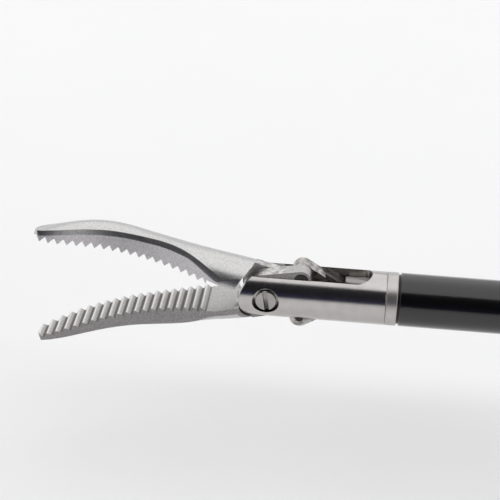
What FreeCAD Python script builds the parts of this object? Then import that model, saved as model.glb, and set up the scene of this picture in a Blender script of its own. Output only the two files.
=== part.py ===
import FreeCAD, Part
import os
import re
import Sketcher
from FreeCAD import Vector

# Tip unit of a 5 mm Maryland dissector: two curved toothed jaws on one pivot screw in a slotted clevis,
# worked by a push rod through two links, on a short insulated shaft with a screwed coupling.
# +X runs back along the shaft, +Z is up, the pivot screw lies along Y, and the jaws point to -X.
# The origin is the centre of the coupling's rear shoulder. Millimetres and degrees.

os.makedirs("parts", exist_ok=True)
doc = FreeCAD.newDocument("MarylandDissectorTip")

SIZES = {
    # envelope of the shaft, and where the pivot stands ahead of the coupling's shoulder
    "outerDiameter": 5.0,
    "pivotToShoulder": 34.0,
    # clevis, all stations measured back from the pivot
    "clevisLength": 11.1,
    "slotWidth": 2.86,
    "slotReach": 9.7,
    "clevisBore": 3.7,
    "boreReach": 7.2,
    "edgeBreak": 0.06,
    # pivot screw
    "pivotDiameter": 1.6,
    "pivotThread": 1.2,
    "headDiameter": 1.9,
    "headThickness": 0.42,
    "headFaceReach": 2.27,
    "headRecess": 2.5,
    "driverSlotWidth": 0.42,
    "driverSlotDepth": 0.24,
    "driverSlotTurn": 9.0,
    "screwEndReach": 2.3,
    # running clearances
    "sideClearance": 0.03,
    "pinClearance": 0.03,
    "noseGap": 0.13,
    # linkage: the tail and its link are equally long, so the link's rear eye stays on the shaft's axis
    "linkLength": 3.72,
    "closedTailAngle": 18.0,
    "restOpening": 14.0,
    "knuckleRadius": 0.93,
    "linkEndRadius": 0.95,
    "linkEndThickness": 0.65,
    "linkStep": 1.97,
    "linkPinDiameter": 0.8,
    "knuckleHeadDiameter": 1.24,
    "knuckleHeadThickness": 0.22,
    "knuckleRecess": 1.36,
    "strokeSlack": 0.16,
    # jaw, stations measured forward from the pivot along the closed jaw
    "eyeRadius": 2.3,
    "neckFloor": 0.32,
    "jawStart": 1.5,
    "backDiameter": 4.9,
    "jawEnd": 22.6,
    "crownHeight": 1.85,
    "crownBendStation": 14.5,
    "crownBendRadius": 20.0,
    "wallHeight": 1.45,
    "wallLean": 0.24,
    "wallBendStation": 10.5,
    "wallBendRadius": 60.0,
    "taperStation": 10.0,
    "taperLength": 5.5,
    "taperDrop": 0.16,
    "taperLean": 0.28,
    "cornerRise": 0.48,
    "cornerRun": 0.26,
    "cornerBulge": 0.03,
    "rootInset": 0.05,
    "rootLength": 10.5,
    "cornerStart": 7.0,
    "farWallHeight": 0.5,
    "stepRadius": 3.05,
    "nearCurveDepth": 0.95,
    "nearCurveStation": 12.2,
    "nearCurveRadius": 16.5,
    "farSideReach": 2.48,
    "farBendStation": 12.0,
    "farBendRadius": 15.5,
    "tipStation": 20.98,
    "tipOffset": 2.02,
    "tipRadius": 1.3,
    "tipTurn": 34.0,
    # teeth
    "toothPitch": 0.83,
    "toothCount": 20,
    "toothDepth": 0.42,
    "toothFlat": 0.05,
    "toothStart": 5.8,
    "biteClearance": 0.02,
    "biteTilt": 0.4,
    "reliefStep": 0.06,
    # push rod
    "rodDiameter": 1.8,
    "rodSpigot": 1.1,
    "rodHeadThickness": 1.44,
    "rodHeadReach": 1.2,
    "rodBossDiameter": 2.3,
    "rodBossLength": 1.2,
    "ballDiameter": 2.2,
    "ballNeck": 1.6,
    "ballNeckLength": 1.6,
    "ballStandout": 8.4,
    # collar between clevis and shaft
    "collarLength": 1.05,
    "collarSpigot": 1.25,
    "collarPlug": 4.35,
    "bushDiameter": 2.6,
    "bushLength": 3.05,
    "bushStop": 0.5,
    "glandDiameter": 3.1,
    "sealLength": 1.2,
    "retainerLength": 0.5,
    "rodPassage": 2.2,
    # shaft
    "tubeDiameter": 4.6,
    "tubeWall": 0.3,
    "sleeveGap": 0.17,
    "sleeveRound": 0.1,
    # coupling at the rear
    "flangeLength": 1.2,
    "plugLength": 4.2,
    "threadDiameter": 4.0,
    "threadLength": 4.6,
    "threadLead": 0.3,
    "pilotDiameter": 3.2,
    "pilotLength": 1.4,
    "rearBushDiameter": 3.0,
    "rearBushLength": 2.8,
    "ringSection": 0.5,
    "ringGrooveWidth": 0.6,
    "ringSeat": 2.6,
}
SECTION_COUNT = 7


# Spreadsheet
sheet = doc.addObject("Spreadsheet::Sheet", "Sizes")
for row, (alias, value) in enumerate(SIZES.items(), start=1):
    sheet.set("A%d" % row, alias)
    sheet.set("B%d" % row, str(value))
    sheet.setAlias("B%d" % row, alias)
doc.recompute()


# Formulas: each is plain text over the sheet's names
def cells(formula):
    def withSheet(word):
        return ("Sizes." if word.group(0) in SIZES else "") + word.group(0)
    return re.sub(r"[A-Za-z]+", withSheet, formula)


def number(formula):
    return float(sheet.evalExpression(cells(formula).replace("Sizes.", "")))


# Bodies and sketches
def newBody(label):
    body = doc.addObject("PartDesign::Body", label)
    body.Label = label
    return body


def newSketch(body, name, plane, offset="0"):
    sketch = body.newObject("Sketcher::SketchObject", body.Name + "_" + name)
    support = [feature for feature in body.Origin.OriginFeatures if feature.Role == plane][0]
    sketch.AttachmentSupport = [(support, "")]
    sketch.MapMode = "FlatFace"
    sketch.setExpression("AttachmentOffset.Base.z", cells(offset))
    return sketch


def bind(sketch, constraint, formula):
    index = sketch.addConstraint(constraint)
    sketch.setExpression("Constraints[%d]" % index, cells(formula))


def fixPoint(sketch, curve, end, x, y):
    for kind, axis, formula in (("DistanceX", -2, x), ("DistanceY", -1, y)):
        if formula == "0":
            sketch.addConstraint(Sketcher.Constraint("PointOnObject", curve, end, axis))
        else:
            bind(sketch, Sketcher.Constraint(kind, -1, 1, curve, end, number(formula)), formula)


def addCircle(sketch, x, y, radius):
    centre = Vector(number(x), number(y), 0)
    circle = sketch.addGeometry(Part.Circle(centre, Vector(0, 0, 1), number(radius)), False)
    fixPoint(sketch, circle, 3, x, y)
    bind(sketch, Sketcher.Constraint("Radius", circle, number(radius)), radius)


def addOutline(sketch, corners):
    """corners: (x, y) joins the next corner by a line, (x, y, via) by an arc that passes the point via."""
    points = [Vector(number(corner[0]), number(corner[1]), 0) for corner in corners]
    curves = []
    for index, corner in enumerate(corners):
        start = points[index]
        end = points[(index + 1) % len(points)]
        if len(corner) == 2:
            curves.append((sketch.addGeometry(Part.LineSegment(start, end), False), 1, 2))
            continue
        via = Vector(number(corner[2][0]), number(corner[2][1]), 0)
        arc = sketch.addGeometry(Part.Arc(start, via, end), False)
        turnsLeft = (via - start).cross(end - via).z > 0
        curves.append((arc, 1, 2) if turnsLeft else (arc, 2, 1))
        marker = sketch.addGeometry(Part.Point(via), True)
        fixPoint(sketch, marker, 1, corner[2][0], corner[2][1])
        sketch.addConstraint(Sketcher.Constraint("PointOnObject", marker, 1, arc))
    for index, (curve, start, end) in enumerate(curves):
        following, followingStart, unused = curves[(index + 1) % len(curves)]
        sketch.addConstraint(Sketcher.Constraint("Coincident", curve, end, following, followingStart))
        fixPoint(sketch, curve, start, corners[index][0], corners[index][1])


# Features
def pad(body, sketch, length, reversed=False, midplane=False):
    feature = body.newObject("PartDesign::Pad", sketch.Name + "Pad")
    feature.Profile = sketch
    feature.Reversed = reversed
    feature.Midplane = midplane
    feature.setExpression("Length", cells(length))
    return feature


def pocket(body, sketch, length, reversed=False, midplane=False):
    doc.recompute()
    before = body.Shape.Volume
    feature = body.newObject("PartDesign::Pocket", sketch.Name + "Pocket")
    feature.Profile = sketch
    feature.Reversed = reversed
    feature.Midplane = midplane
    feature.setExpression("Length", cells(length))
    doc.recompute()
    if body.Shape.Volume > before - 1e-5:
        raise RuntimeError("%s cuts nothing" % feature.Name)
    return feature


def revolve(body, corners):
    sketch = newSketch(body, "profile", "XZ_Plane")
    addOutline(sketch, corners)
    feature = body.newObject("PartDesign::Revolution", body.Name + "Turning")
    feature.Profile = sketch
    feature.ReferenceAxis = (sketch, ["H_Axis"])
    feature.Angle = 360.0
    return feature


def setBack(body, station="0"):
    """Stations are counted from the pivot, so every body moves ahead of the coupling's shoulder."""
    body.setExpression("Placement.Base.x", cells("%s - pivotToShoulder" % station))


# Shared formulas
OUTER = "outerDiameter / 2"
SHOULDER = "(outerDiameter / 2 + noseGap)"
TANG_INNER = "sideClearance / 2"
TANG_OUTER = "(slotWidth / 2 - sideClearance)"
TAIL_ANGLE = "(closedTailAngle + restOpening)"
ROD_PIN = "(2 * linkLength * cos(closedTailAngle + restOpening))"
COLLAR_FRONT = "(clevisLength - collarSpigot)"
COLLAR_REAR = "(clevisLength + collarLength)"
GLAND_FRONT = "(clevisLength - collarSpigot + bushLength + bushStop)"
SLEEVE_REAR = "(pivotToShoulder - flangeLength)"
PLUG_FRONT = "(pivotToShoulder - flangeLength - plugLength)"
TOOTH_TIP = "(toothDepth / 2 - biteClearance)"
TOOTH_ROOT = "(toothDepth / 2 + biteClearance)"


# Clevis: a turned bar with a round nose, slotted from top to bottom and bored from the rear
def makeClevis():
    body = newBody("clevis")
    revolve(body, [
        ("-outerDiameter / 2", "0"),
        ("-outerDiameter / 2", OUTER),
        ("clevisLength - edgeBreak", OUTER),
        ("clevisLength", "outerDiameter / 2 - edgeBreak"),
        ("clevisLength", "0"),
    ])
    nose = newSketch(body, "nose", "XZ_Plane")
    addOutline(nose, [
        ("0", OUTER, ("-outerDiameter / 2", "0")),
        ("0", "-outerDiameter / 2"),
        ("0", "-outerDiameter"),
        ("-outerDiameter", "-outerDiameter"),
        ("-outerDiameter", "outerDiameter"),
        ("0", "outerDiameter"),
    ])
    pocket(body, nose, "2 * outerDiameter", midplane=True)
    slot = newSketch(body, "slot", "XY_Plane")
    addOutline(slot, [
        ("-outerDiameter", "slotWidth / 2"),
        ("-outerDiameter", "-slotWidth / 2"),
        ("slotReach - slotWidth / 2", "-slotWidth / 2", ("slotReach", "0")),
        ("slotReach - slotWidth / 2", "slotWidth / 2"),
    ])
    pocket(body, slot, "2 * outerDiameter", midplane=True)
    bore = newSketch(body, "bore", "YZ_Plane", "clevisLength")
    addCircle(bore, "0", "0", "clevisBore / 2")
    pocket(body, bore, "clevisLength - boreReach")
    recess = newSketch(body, "head_recess", "XZ_Plane", "outerDiameter / 2")
    addCircle(recess, "0", "0", "headRecess / 2")
    pocket(body, recess, "outerDiameter / 2 - headFaceReach + headThickness")
    nearHole = newSketch(body, "near_hole", "XZ_Plane", "outerDiameter / 2")
    addCircle(nearHole, "0", "0", "pivotDiameter / 2")
    pocket(body, nearHole, "outerDiameter / 2")
    farHole = newSketch(body, "far_hole", "XZ_Plane")
    addCircle(farHole, "0", "0", "pivotThread / 2")
    pocket(body, farHole, "outerDiameter")
    setBack(body)


# Pivot screw: slotted head in the near arm, plain shank through both jaws, thread in the far arm
def makePivotScrew():
    body = newBody("pivot_screw")
    head = newSketch(body, "head", "XZ_Plane", "headFaceReach")
    addCircle(head, "0", "0", "headDiameter / 2")
    pad(body, head, "headThickness", reversed=True)
    shank = newSketch(body, "shank", "XZ_Plane", "headFaceReach - headThickness")
    addCircle(shank, "0", "0", "pivotDiameter / 2")
    pad(body, shank, "headFaceReach - headThickness + slotWidth / 2", reversed=True)
    thread = newSketch(body, "thread", "XZ_Plane", "-slotWidth / 2")
    addCircle(thread, "0", "0", "pivotThread / 2")
    pad(body, thread, "screwEndReach - slotWidth / 2", reversed=True)
    driver = newSketch(body, "driver_slot", "XZ_Plane", "headFaceReach")
    addOutline(driver, [
        ("-driverSlotWidth / 2", "-headDiameter"),
        ("driverSlotWidth / 2", "-headDiameter"),
        ("driverSlotWidth / 2", "headDiameter"),
        ("-driverSlotWidth / 2", "headDiameter"),
    ])
    pocket(body, driver, "driverSlotDepth")
    body.Placement.Rotation = FreeCAD.Rotation(Vector(0, -1, 0), SIZES["driverSlotTurn"])
    body.setExpression("Placement.Rotation.Angle", cells("driverSlotTurn * 1deg"))
    setBack(body)


# Jaw. side is 1 for the upper jaw, its tang in the far layer, and -1 for the lower jaw, in the near layer.
def bend(station, start, radius):
    """How far an arc that leaves its tangent at start has fallen at a station, and nothing before it."""
    return "(%s - sqrt(%s ^ 2 - max(%s - %s; 0) ^ 2))" % (radius, radius, station, start)


def jawSection(body, name, side, station):
    fall = "sqrt(nearCurveRadius ^ 2 - (%s - nearCurveStation) ^ 2)" % station
    curve = "(nearCurveDepth + nearCurveRadius - %s)" % fall
    most = "(%s < nearCurveStation ? backDiameter / 2 - rootInset : tipOffset + tipRadius)" % station
    near = "min(%s; %s)" % (curve, most)
    far = "(farSideReach - %s)" % bend(station, "farBendStation", "farBendRadius")
    rootFade = "max(1 - %s / rootLength; 0)" % station
    crown = "(crownHeight - %s + (backDiameter / 2 - crownHeight) * %s)" % (
        bend(station, "crownBendStation", "crownBendRadius"), rootFade)
    taper = "min(max(%s - taperStation; 0) / taperLength; 1)" % station
    inRound = "(%s < nearCurveStation ? sqrt(max((backDiameter / 2) ^ 2 - %s ^ 2; 0)) : wallHeight)" % (
        station, near)
    wall = "min(wallHeight - %s - taperDrop * %s; %s)" % (
        bend(station, "wallBendStation", "wallBendRadius"), taper, inRound)
    farWall = "min(farWallHeight; %s / 2)" % crown
    bite = "((tipStation - %s) * tan(biteTilt) - %s)" % (station, TOOTH_TIP)
    wallTop = "(wallLean * %s / wallHeight + taperLean * %s - %s)" % (wall, taper, near)
    # the steep corner over the wall grows out of the round root, and is whole from cornerStart on
    grown = "min(%s / cornerStart; 1)" % station
    roundTop = "sqrt(max((backDiameter / 2) ^ 2 - (%s + cornerRun) ^ 2; 0))" % wallTop
    cornerTop = "(%s * (%s + cornerRise) + (1 - %s) * %s)" % (grown, wall, grown, roundTop)
    cornerWidth = "sqrt(cornerRun ^ 2 + (%s - %s) ^ 2)" % (cornerTop, wall)
    sketch = newSketch(body, name, "YZ_Plane", "-(%s)" % station)
    addOutline(sketch, [
        ("-%s" % near, "%d * %s" % (side, bite)),
        (wallTop, "%d * %s" % (side, wall),
         ("%s + cornerRun / 2 - cornerBulge * (%s - %s) / %s" % (wallTop, cornerTop, wall, cornerWidth),
          "%d * ((%s + %s) / 2 + cornerBulge * cornerRun / %s)" % (side, wall, cornerTop, cornerWidth))),
        ("%s + cornerRun" % wallTop, "%d * %s" % (side, cornerTop),
         ("(%s + cornerRun - %s) / 2" % (far, near), "%d * %s" % (side, crown))),
        (far, "%d * %s" % (side, farWall)),
        (far, "%d * %s" % (side, bite)),
    ])
    return sketch


def tiltBite(sketch, side):
    """Turn a sketch about the tip, so that the jaws meet there first and stay apart at the heel."""
    sketch.AttachmentOffset.Rotation = FreeCAD.Rotation(Vector(0, 0, side), SIZES["biteTilt"])
    sketch.setExpression("AttachmentOffset.Rotation.Angle", cells("biteTilt * 1deg"))
    sketch.setExpression("AttachmentOffset.Base.x", cells("tipStation * (cos(biteTilt) - 1)"))
    sketch.setExpression("AttachmentOffset.Base.y", cells("%d * tipStation * sin(biteTilt)" % side))


def aheadOfTip(ahead, across):
    """A plan point counted from the tip's centre, along and across the way the curved jaw points there."""
    return ("-(tipStation + %s * cos(tipTurn) + %s * sin(tipTurn))" % (ahead, across),
            "%s * cos(tipTurn) - %s * sin(tipTurn) - tipOffset" % (across, ahead))


def makeJaw(label, side):
    body = newBody(label)
    spacing = "(jawEnd - jawStart) / %d" % (SECTION_COUNT - 1)
    stations = ["(jawStart + %d * %s)" % (step, spacing) for step in range(SECTION_COUNT)]
    sections = [jawSection(body, "section%d" % index, side, place) for index, place in enumerate(stations)]
    loft = body.newObject("PartDesign::AdditiveLoft", label + "Forging")
    loft.Profile = sections[0]
    loft.Sections = sections[1:]
    doc.recompute()

    tip = newSketch(body, "tip", "XY_Plane")
    addOutline(tip, [
        aheadOfTip("0", "tipRadius") + (aheadOfTip("tipRadius", "0"),),
        aheadOfTip("0", "-tipRadius"),
        aheadOfTip("0", "-outerDiameter"),
        aheadOfTip("outerDiameter", "-outerDiameter"),
        aheadOfTip("outerDiameter", "outerDiameter"),
        aheadOfTip("0", "outerDiameter"),
    ])
    pocket(body, tip, "2 * outerDiameter", midplane=True)

    heelLift = "(tipStation - toothStart) * tan(biteTilt)"
    relief = newSketch(body, "relief", "XZ_Plane")
    addOutline(relief, [
        ("-toothStart", "%d * (%s - reliefStep + %s)" % (side, TOOTH_ROOT, heelLift)),
        ("0", "%d * neckFloor" % side),
        ("0", "%d * -toothDepth" % side),
        ("-toothStart", "%d * -toothDepth" % side),
    ])
    pocket(body, relief, "2 * outerDiameter", midplane=True)

    # concave shoulder that clears the clevis's nose as the jaw turns, cut further forward beside the tang
    shoulder = newSketch(body, "shoulder", "XZ_Plane")
    addCircle(shoulder, "0", "0", SHOULDER)
    pocket(body, shoulder, "2 * outerDiameter", midplane=True)
    step = newSketch(body, "step", "XZ_Plane")
    addCircle(step, "0", "0", "stepRadius")
    pocket(body, step, "outerDiameter", reversed=side > 0)

    # tang in its own layer: neck, eye and tail with a round knuckle
    layer = "-%s" % TANG_INNER if side > 0 else TANG_OUTER
    thickness = "(%s - %s)" % (TANG_OUTER, TANG_INNER)
    neck = newSketch(body, "neck", "XZ_Plane", layer)
    addOutline(neck, [
        ("0", "%d * neckFloor" % side),
        ("0", "%d * eyeRadius" % side),
        ("-(jawStart + noseGap)", "%d * eyeRadius" % side),
        ("-(outerDiameter / 2 + 2 * noseGap)", "%d * neckFloor" % side),
    ])
    pad(body, neck, thickness, reversed=True)
    eye = newSketch(body, "eye", "XZ_Plane", layer)
    addCircle(eye, "0", "0", "eyeRadius")
    pad(body, eye, thickness, reversed=True)
    kx = "(linkLength * cos(closedTailAngle))"
    kz = "(linkLength * sin(closedTailAngle))"
    spread = "(closedTailAngle + acos((eyeRadius - knuckleRadius) / linkLength) / 1deg)"
    tail = newSketch(body, "tail", "XZ_Plane", layer)
    addOutline(tail, [
        ("knuckleRadius * sin(closedTailAngle)", "%d * knuckleRadius * cos(closedTailAngle)" % side),
        ("%s + knuckleRadius * sin(closedTailAngle)" % kx,
         "%d * (knuckleRadius * cos(closedTailAngle) - %s)" % (side, kz),
         ("%s + knuckleRadius * cos(closedTailAngle)" % kx,
          "%d * -(%s + knuckleRadius * sin(closedTailAngle))" % (side, kz))),
        ("%s + knuckleRadius * cos(%s)" % (kx, spread),
         "%d * -(%s + knuckleRadius * sin(%s))" % (side, kz, spread)),
        ("eyeRadius * cos(%s)" % spread, "%d * -eyeRadius * sin(%s)" % (side, spread)),
    ])
    pad(body, tail, thickness, reversed=True)

    # round the tang's back to the back of the jaw
    trim = newSketch(body, "trim", "YZ_Plane", "-outerDiameter")
    addOutline(trim, [
        ("-backDiameter / 2", "0", ("0", "%d * backDiameter / 2" % side)),
        ("backDiameter / 2", "0"),
        ("outerDiameter", "0"),
        ("outerDiameter", "%d * outerDiameter" % side),
        ("-outerDiameter", "%d * outerDiameter" % side),
        ("-outerDiameter", "0"),
    ])
    pocket(body, trim, "outerDiameter + eyeRadius", reversed=True)

    hole = newSketch(body, "pivot_hole", "XZ_Plane")
    addCircle(hole, "0", "0", "pivotDiameter / 2 + pinClearance")
    pocket(body, hole, "outerDiameter", midplane=True)
    pinHole = newSketch(body, "pin_hole", "XZ_Plane")
    addCircle(pinHole, kx, "%d * -%s" % (side, kz), "linkPinDiameter / 2")
    pocket(body, pinHole, "outerDiameter", midplane=True)
    seat = newSketch(body, "pin_seat", "XZ_Plane", "%d * %s" % (-side, TANG_OUTER))
    addCircle(seat, kx, "%d * -%s" % (side, kz), "knuckleRecess / 2")
    pocket(body, seat, "knuckleHeadThickness + sideClearance", reversed=side > 0)

    # the lower jaw's grooves start half a pitch before the upper jaw's, so that the teeth mesh
    valley = "(toothStart + toothPitch / 2)" if side > 0 else "toothStart"
    grooveCount = "toothCount" if side > 0 else "(toothCount + 1)"
    mouth = "(toothPitch / 2 - toothFlat / 2)"
    groove = newSketch(body, "groove", "XZ_Plane")
    tiltBite(groove, side)
    addOutline(groove, [
        ("-(%s + %s)" % (valley, mouth), "%d * -%s" % (side, TOOTH_TIP)),
        ("-(%s + toothFlat / 2)" % valley, "%d * %s" % (side, TOOTH_ROOT)),
        ("-(%s - toothFlat / 2)" % valley, "%d * %s" % (side, TOOTH_ROOT)),
        ("-(%s - %s)" % (valley, mouth), "%d * -%s" % (side, TOOTH_TIP)),
        ("-(%s - %s)" % (valley, mouth), "%d * -toothDepth" % side),
        ("-(%s + %s)" % (valley, mouth), "%d * -toothDepth" % side),
    ])
    cut = pocket(body, groove, "2 * outerDiameter", midplane=True)
    teeth = body.newObject("PartDesign::LinearPattern", label + "Teeth")
    teeth.Originals = [cut]
    teeth.Direction = (groove, ["H_Axis"])
    teeth.Reversed = True
    teeth.setExpression("Length", cells("toothPitch * (%s - 1)" % grooveCount))
    teeth.setExpression("Occurrences", cells(grooveCount))
    body.Tip = teeth

    setBack(body)
    body.Placement.Rotation = FreeCAD.Rotation(Vector(0, side, 0), SIZES["restOpening"])
    body.setExpression("Placement.Rotation.Angle", cells("restOpening * 1deg"))
    return body


# Knuckle pin: headed in the tail's recess, staked flush at the link's face. side as for its jaw.
def makeKnucklePin(label, side):
    body = newBody(label)
    head = newSketch(body, "head", "XZ_Plane", "%d * (%s - sideClearance)" % (-side, TANG_OUTER))
    addCircle(head, "0", "0", "knuckleHeadDiameter / 2")
    pad(body, head, "knuckleHeadThickness", reversed=side < 0)
    shank = newSketch(body, "shank", "XZ_Plane")
    addCircle(shank, "0", "0", "linkPinDiameter / 2")
    pad(body, shank, "2 * (%s - sideClearance)" % TANG_OUTER, midplane=True)
    body.setExpression("Placement.Base.x", cells("linkLength * cos%s - pivotToShoulder" % TAIL_ANGLE))
    body.setExpression("Placement.Base.z", cells("%d * linkLength * sin%s" % (-side, TAIL_ANGLE)))
    return body


# Link: thick at the knuckle, cut back at the rod's end to straddle the rod head. side as for its jaw.
def makeLink(label, side):
    body = newBody(label)
    layer = TANG_OUTER if side > 0 else "-%s" % TANG_INNER
    thickness = "(%s - %s)" % (TANG_OUTER, TANG_INNER)
    spread = "(acos((knuckleRadius - linkEndRadius) / linkLength) / 1deg)"
    plate = newSketch(body, "plate", "XZ_Plane", layer)
    addOutline(plate, [
        ("knuckleRadius * cos(%s)" % spread, "knuckleRadius * sin(%s)" % spread, ("-knuckleRadius", "0")),
        ("knuckleRadius * cos(%s)" % spread, "-knuckleRadius * sin(%s)" % spread),
        ("linkLength + linkEndRadius * cos(%s)" % spread, "-linkEndRadius * sin(%s)" % spread,
         ("linkLength + linkEndRadius", "0")),
        ("linkLength + linkEndRadius * cos(%s)" % spread, "linkEndRadius * sin(%s)" % spread),
    ])
    pad(body, plate, thickness, reversed=True)
    step = newSketch(body, "step", "XZ_Plane")
    addCircle(step, "linkLength", "0", "linkStep")
    pocket(body, step, "%s - linkEndThickness" % TANG_OUTER, reversed=side > 0)
    knuckleHole = newSketch(body, "knuckle_hole", "XZ_Plane")
    addCircle(knuckleHole, "0", "0", "linkPinDiameter / 2 + pinClearance")
    pocket(body, knuckleHole, "outerDiameter", midplane=True)
    rodHole = newSketch(body, "rod_hole", "XZ_Plane")
    addCircle(rodHole, "linkLength", "0", "linkPinDiameter / 2 + strokeSlack")
    pocket(body, rodHole, "outerDiameter", midplane=True)
    body.Placement.Rotation = FreeCAD.Rotation(Vector(0, -side, 0), number(TAIL_ANGLE))
    body.setExpression("Placement.Rotation.Angle", cells("%s * 1deg" % TAIL_ANGLE))
    body.setExpression("Placement.Base.x", cells("linkLength * cos%s - pivotToShoulder" % TAIL_ANGLE))
    body.setExpression("Placement.Base.z", cells("%d * linkLength * sin%s" % (-side, TAIL_ANGLE)))
    return body


# Push rod, its head between the links, the pin they share and the ball that the handpiece grips
def makeRodHead():
    body = newBody("rod_head")
    tang = newSketch(body, "tang", "XZ_Plane")
    addOutline(tang, [
        ("0", "linkEndRadius", ("-linkEndRadius", "0")),
        ("0", "-linkEndRadius"),
        ("rodHeadReach", "-linkEndRadius"),
        ("rodHeadReach", "linkEndRadius"),
    ])
    pad(body, tang, "rodHeadThickness", midplane=True)
    boss = newSketch(body, "boss", "YZ_Plane", "rodHeadReach")
    addCircle(boss, "0", "0", "rodBossDiameter / 2")
    pad(body, boss, "rodBossLength")
    pinHole = newSketch(body, "pin_hole", "XZ_Plane")
    addCircle(pinHole, "0", "0", "linkPinDiameter / 2")
    pocket(body, pinHole, "outerDiameter", midplane=True)
    socket = newSketch(body, "socket", "YZ_Plane", "rodHeadReach + rodBossLength")
    addCircle(socket, "0", "0", "rodSpigot / 2")
    pocket(body, socket, "rodBossLength")
    setBack(body, ROD_PIN)


def makeRodPin():
    body = newBody("rod_pin")
    shank = newSketch(body, "shank", "XZ_Plane")
    addCircle(shank, "0", "0", "linkPinDiameter / 2")
    pad(body, shank, "2 * (%s - sideClearance)" % TANG_OUTER, midplane=True)
    setBack(body, ROD_PIN)


BALL_CENTRE = "(pivotToShoulder + ballStandout)"


def makeDriveRod():
    body = newBody("drive_rod")
    front = "(%s + rodHeadReach + rodBossLength)" % ROD_PIN
    rear = "(%s - ballNeckLength)" % BALL_CENTRE
    revolve(body, [
        ("%s - rodBossLength" % front, "0"),
        ("%s - rodBossLength" % front, "rodSpigot / 2"),
        (front, "rodSpigot / 2"),
        (front, "rodDiameter / 2"),
        (rear, "rodDiameter / 2"),
        (rear, "rodSpigot / 2"),
        (BALL_CENTRE, "rodSpigot / 2"),
        (BALL_CENTRE, "0"),
    ])
    setBack(body)


def makeRodBall():
    body = newBody("rod_ball")
    meet = "(%s - sqrt((ballDiameter / 2) ^ 2 - (ballNeck / 2) ^ 2))" % BALL_CENTRE
    revolve(body, [
        ("%s - ballNeckLength" % BALL_CENTRE, "rodSpigot / 2"),
        ("%s - ballNeckLength" % BALL_CENTRE, "ballNeck / 2"),
        (meet, "ballNeck / 2", (BALL_CENTRE, "ballDiameter / 2")),
        ("%s + ballDiameter / 2" % BALL_CENTRE, "0"),
        (BALL_CENTRE, "0"),
        (BALL_CENTRE, "rodSpigot / 2"),
    ])
    setBack(body)


# Collar: pressed into the clevis in front and the shaft tube behind, with the rod's bush and seal inside
def makeCollar():
    body = newBody("collar")
    revolve(body, [
        (COLLAR_FRONT, "bushDiameter / 2"),
        (COLLAR_FRONT, "clevisBore / 2"),
        ("clevisLength", "clevisBore / 2"),
        ("clevisLength", "outerDiameter / 2 - edgeBreak"),
        ("clevisLength + edgeBreak", OUTER),
        ("%s - edgeBreak" % COLLAR_REAR, OUTER),
        (COLLAR_REAR, "outerDiameter / 2 - edgeBreak"),
        (COLLAR_REAR, "tubeDiameter / 2 - tubeWall"),
        ("%s + collarPlug" % COLLAR_REAR, "tubeDiameter / 2 - tubeWall"),
        ("%s + collarPlug" % COLLAR_REAR, "glandDiameter / 2"),
        (GLAND_FRONT, "glandDiameter / 2"),
        (GLAND_FRONT, "rodPassage / 2"),
        ("%s - bushStop" % GLAND_FRONT, "rodPassage / 2"),
        ("%s - bushStop" % GLAND_FRONT, "bushDiameter / 2"),
    ])
    setBack(body)


def makeRing(label, front, rear, inner, outer):
    body = newBody(label)
    revolve(body, [(front, inner), (front, outer), (rear, outer), (rear, inner)])
    setBack(body)
    return body


def makeSleeve():
    body = newBody("insulation_sleeve")
    front = "(%s + sleeveGap)" % COLLAR_REAR
    revolve(body, [
        (front, "tubeDiameter / 2"),
        (front, "outerDiameter / 2 - sleeveRound"),
        ("%s + sleeveRound" % front, OUTER),
        (SLEEVE_REAR, OUTER),
        (SLEEVE_REAR, "tubeDiameter / 2"),
    ])
    setBack(body)


# Coupling: plug in the tube, flange, screwed spigot and a pilot with a seal ring
def makeCoupling():
    body = newBody("coupling")
    bore = "rodPassage / 2"
    pilotFront = "(pivotToShoulder + threadLength)"
    pilotRear = "(pivotToShoulder + threadLength + pilotLength)"
    grooveFront = "(%s + (pilotLength - ringGrooveWidth) / 2)" % pilotFront
    grooveRear = "(%s + (pilotLength + ringGrooveWidth) / 2)" % pilotFront
    revolve(body, [
        (PLUG_FRONT, "rearBushDiameter / 2"),
        (PLUG_FRONT, "tubeDiameter / 2 - tubeWall"),
        (SLEEVE_REAR, "tubeDiameter / 2 - tubeWall"),
        (SLEEVE_REAR, "outerDiameter / 2 - edgeBreak"),
        ("%s + edgeBreak" % SLEEVE_REAR, OUTER),
        ("pivotToShoulder - edgeBreak", OUTER),
        ("pivotToShoulder", "outerDiameter / 2 - edgeBreak"),
        ("pivotToShoulder", "threadDiameter / 2"),
        ("%s - threadLead" % pilotFront, "threadDiameter / 2"),
        (pilotFront, "threadDiameter / 2 - threadLead"),
        (pilotFront, "pilotDiameter / 2"),
        (grooveFront, "pilotDiameter / 2"),
        (grooveFront, "ringSeat / 2"),
        (grooveRear, "ringSeat / 2"),
        (grooveRear, "pilotDiameter / 2"),
        ("%s - edgeBreak" % pilotRear, "pilotDiameter / 2"),
        (pilotRear, "pilotDiameter / 2 - edgeBreak"),
        (pilotRear, bore),
        ("%s + rearBushLength" % PLUG_FRONT, bore),
        ("%s + rearBushLength" % PLUG_FRONT, "rearBushDiameter / 2"),
    ])
    setBack(body)


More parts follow.
